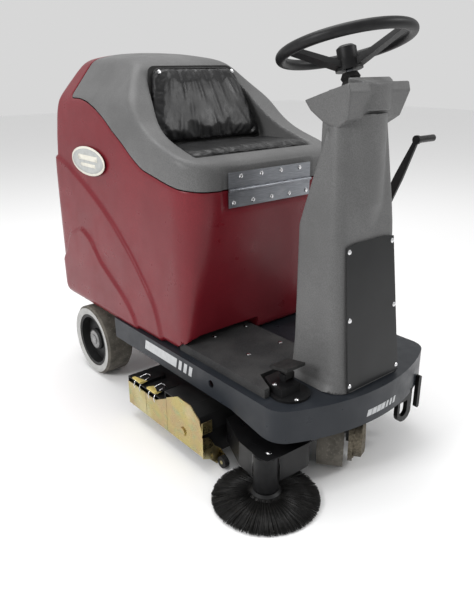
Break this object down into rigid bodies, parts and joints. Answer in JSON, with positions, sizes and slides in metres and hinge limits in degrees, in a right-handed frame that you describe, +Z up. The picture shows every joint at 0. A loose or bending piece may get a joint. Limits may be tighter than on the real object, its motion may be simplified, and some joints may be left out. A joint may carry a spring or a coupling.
{
  "type": "ride-on sweeper",
  "caption": "Battery ride-on floor sweeper with a hinged seat cover over the tank, a steering column, a broom deck under the frame and a side brush at the front right corner.",
  "frame": {"origin": "on the floor, under the middle of the machine's bounding box", "axes": "+X to the machine's left, -Y forward, +Z up"},
  "size_m": [0.833, 1.421, 1.2535],
  "materials": {
    "tank_red": "moulded, soft gloss",
    "grey_plastic": "moulded, fine grain",
    "frame_paint": "satin powder coat",
    "black_paint": "satin",
    "step_black": "textured",
    "black_plastic": "satin",
    "black_rubber": "matte",
    "grey_tyre": "matte, non-marking",
    "wheel_grey": "satin",
    "cast_metal": "cast",
    "zinc_yellow": "yellow zinc plated",
    "latch_black": "satin, yellow tip",
    "brushed": "brushed",
    "vinyl": "soft creased vinyl",
    "bristle": "polypropylene bristle",
    "broom_tube": "plain",
    "battery_case": "plain",
    "filter_paper": "pleated paper"
  },
  "bodies": {
    "chassis": {"tank_shell": "tank_red", "column_shell": "grey_plastic", "console_housing": "grey_plastic", "main_frame": "frame_paint", "battery_tray": "black_paint", "fan_housing": "black_paint", "front_loops": "black_paint", "step_plate": "step_black", "access_panel": "black_plastic", "control_fascia": "black_plastic", "pedal_base": "black_plastic", "motor_controller": "black_plastic", "steering_boot": "black_rubber", "hinge_lower_leaf": "brushed", "hinge_pin": "brushed", "rear_axle": "brushed", "body_screws": "brushed", "batteries": "battery_case", "dust_filter": "filter_paper"},
    "seat_lid": {"seat_cover": "grey_plastic", "seat_cushion": "vinyl", "seat_backrest": "vinyl", "hinge_upper_leaf": "brushed", "cover_screws": "brushed"},
    "steering_wheel": {"steering_wheel_rim": "black_plastic", "steering_wheel_cap": "black_plastic", "steering_shaft": "brushed"},
    "drive_unit": {"drive_yoke": "black_paint", "lower_steering_shaft": "brushed", "drive_gearcase": "cast_metal"},
    "drive_wheel": {"drive_tyre": "grey_tyre", "drive_rim": "wheel_grey"},
    "right_wheel": {"right_wheel_tyre": "grey_tyre", "right_wheel_rim": "wheel_grey"},
    "left_wheel": {"left_wheel_tyre": "grey_tyre", "left_wheel_rim": "wheel_grey"},
    "broom_deck": {"deck_housing": "black_paint", "broom_side_plate": "zinc_yellow", "deck_skirts": "black_rubber", "broom_motor": "black_paint", "broom_belt": "black_plastic"},
    "main_broom": {"main_broom_core": "broom_tube", "main_broom_bristles": "bristle"},
    "broom_motor_rotor": {"motor_pulley": "brushed"},
    "deck_roller": {"deck_roller": "black_rubber"},
    "middle_tray": {"middle_tray": "zinc_yellow"},
    "rear_tray": {"rear_tray": "zinc_yellow"},
    "middle_tray_latch": {"middle_tray_latch": "latch_black"},
    "rear_tray_latch": {"rear_tray_latch": "latch_black"},
    "side_brush_arm": {"side_brush_arm": "black_paint", "side_brush_motor": "black_paint"},
    "side_brush": {"side_brush_hub": "black_plastic", "side_brush_bristles": "bristle"},
    "lift_lever": {"lift_lever": "black_paint"},
    "pedal": {"accelerator_pedal": "black_rubber"},
    "fan": {"fan_impeller": "black_plastic"},
    "key": {"key_switch": "brushed"},
    "broom_switch": {"broom_switch": "black_plastic"},
    "speed_knob": {"speed_knob": "black_plastic"},
    "horn_button": {"horn_button": "black_plastic"}
  },
  "joints": [
    {"name": "seat_lid_hinge", "type": "hinge", "parent": "chassis", "child": "seat_lid", "pos_m": [0.0745, -0.218, 0.805], "axis": [1, 0, 0], "range_deg": [0, 60]},
    {"name": "drive_steering", "type": "hinge", "parent": "chassis", "child": "drive_unit", "pos_m": [0.0745, -0.5175, 0.25], "axis": [0, 0, 1], "range_deg": [-23.7, 126.3]},
    {"name": "steering_wheel_turn", "type": "hinge", "parent": "chassis", "child": "steering_wheel", "pos_m": [0.0745, -0.471, 1.193], "axis": [0, 0.2756, 0.9613], "range_deg": [-23.7, 126.3]},
    {"name": "drive_wheel_spin", "type": "hinge", "parent": "drive_unit", "child": "drive_wheel", "pos_m": [0.02806, -0.5547, 0.1], "axis": [0.6252, -0.7804, 0], "continuous": true},
    {"name": "right_wheel_spin", "type": "hinge", "parent": "chassis", "child": "right_wheel", "pos_m": [-0.2115, 0.4605, 0.138], "axis": [1, 0, 0], "continuous": true},
    {"name": "left_wheel_spin", "type": "hinge", "parent": "chassis", "child": "left_wheel", "pos_m": [0.3605, 0.4605, 0.138], "axis": [1, 0, 0], "continuous": true},
    {"name": "deck_lift", "type": "slide", "parent": "chassis", "child": "broom_deck", "axis": [0, 0, 1], "range_m": [0, 0.02]},
    {"name": "main_broom_spin", "type": "hinge", "parent": "broom_deck", "child": "main_broom", "pos_m": [0.0185, -0.2395, 0.091], "axis": [1, 0, 0], "continuous": true},
    {"name": "motor_pulley_spin", "type": "hinge", "parent": "broom_deck", "child": "broom_motor_rotor", "pos_m": [0.3745, -0.1945, 0.226], "axis": [1, 0, 0], "continuous": true},
    {"name": "deck_roller_spin", "type": "hinge", "parent": "broom_deck", "child": "deck_roller", "pos_m": [-0.2645, -0.3665, 0.024], "axis": [1, 0, 0], "continuous": true},
    {"name": "middle_tray_pull", "type": "slide", "parent": "broom_deck", "child": "middle_tray", "axis": [-1, 0, 0], "range_m": [0, 0.45]},
    {"name": "rear_tray_pull", "type": "slide", "parent": "broom_deck", "child": "rear_tray", "axis": [-1, 0, 0], "range_m": [0, 0.45]},
    {"name": "middle_latch_turn", "type": "hinge", "parent": "broom_deck", "child": "middle_tray_latch", "pos_m": [-0.2375, -0.0705, 0.157], "axis": [0, 1, 0], "range_deg": [0, 22]},
    {"name": "rear_latch_turn", "type": "hinge", "parent": "broom_deck", "child": "rear_tray_latch", "pos_m": [-0.2375, 0.0195, 0.157], "axis": [0, 1, 0], "range_deg": [0, 22]},
    {"name": "side_brush_lift", "type": "hinge", "parent": "chassis", "child": "side_brush_arm", "pos_m": [-0.1155, -0.4745, 0.168], "axis": [0, 1, 0], "range_deg": [0, 8.1]},
    {"name": "side_brush_spin", "type": "hinge", "parent": "side_brush_arm", "child": "side_brush", "pos_m": [-0.2585, -0.5525, 0.06], "axis": [0, 0, 1], "continuous": true},
    {"name": "lift_lever_turn", "type": "hinge", "parent": "chassis", "child": "lift_lever", "pos_m": [0.3245, -0.2535, 0.31], "axis": [1, 0, 0], "range_deg": [-18.1, 0]},
    {"name": "accelerator_rock", "type": "hinge", "parent": "chassis", "child": "pedal", "pos_m": [-0.1405, -0.5065, 0.334], "axis": [1, 0, 0], "range_deg": [-8, 8], "stiffness_Nm_per_rad": 6},
    {"name": "fan_spin", "type": "hinge", "parent": "chassis", "child": "fan", "pos_m": [0.1845, -0.0245, 0.337], "axis": [0, 0, 1], "continuous": true},
    {"name": "key_turn", "type": "hinge", "parent": "chassis", "child": "key", "pos_m": [0.1525, -0.46797, 1.06253], "axis": [0, 0.2756, 0.9613], "range_deg": [0, 60]},
    {"name": "broom_switch_rock", "type": "hinge", "parent": "chassis", "child": "broom_switch", "pos_m": [-0.0035, -0.46866, 1.06012], "axis": [1, 0, 0], "range_deg": [0, 10]},
    {"name": "speed_knob_turn", "type": "hinge", "parent": "chassis", "child": "speed_knob", "pos_m": [-0.0035, -0.51219, 1.07521], "axis": [0, 0.2756, 0.9613], "range_deg": [-135, 135]},
    {"name": "horn_press", "type": "slide", "parent": "chassis", "child": "horn_button", "axis": [0, -0.2756, -0.9613], "range_m": [0, 0.0022], "stiffness_N_per_m": 600}
  ],
  "couplings": [
    {"joint": "steering_wheel_turn", "follows": "drive_steering", "ratio": 1},
    {"joint": "lift_lever_turn", "follows": "deck_lift", "rad_per_m": -15.708},
    {"joint": "side_brush_lift", "follows": "deck_lift", "rad_per_m": 6.9813},
    {"joint": "motor_pulley_spin", "follows": "main_broom_spin", "ratio": 2}
  ]
}
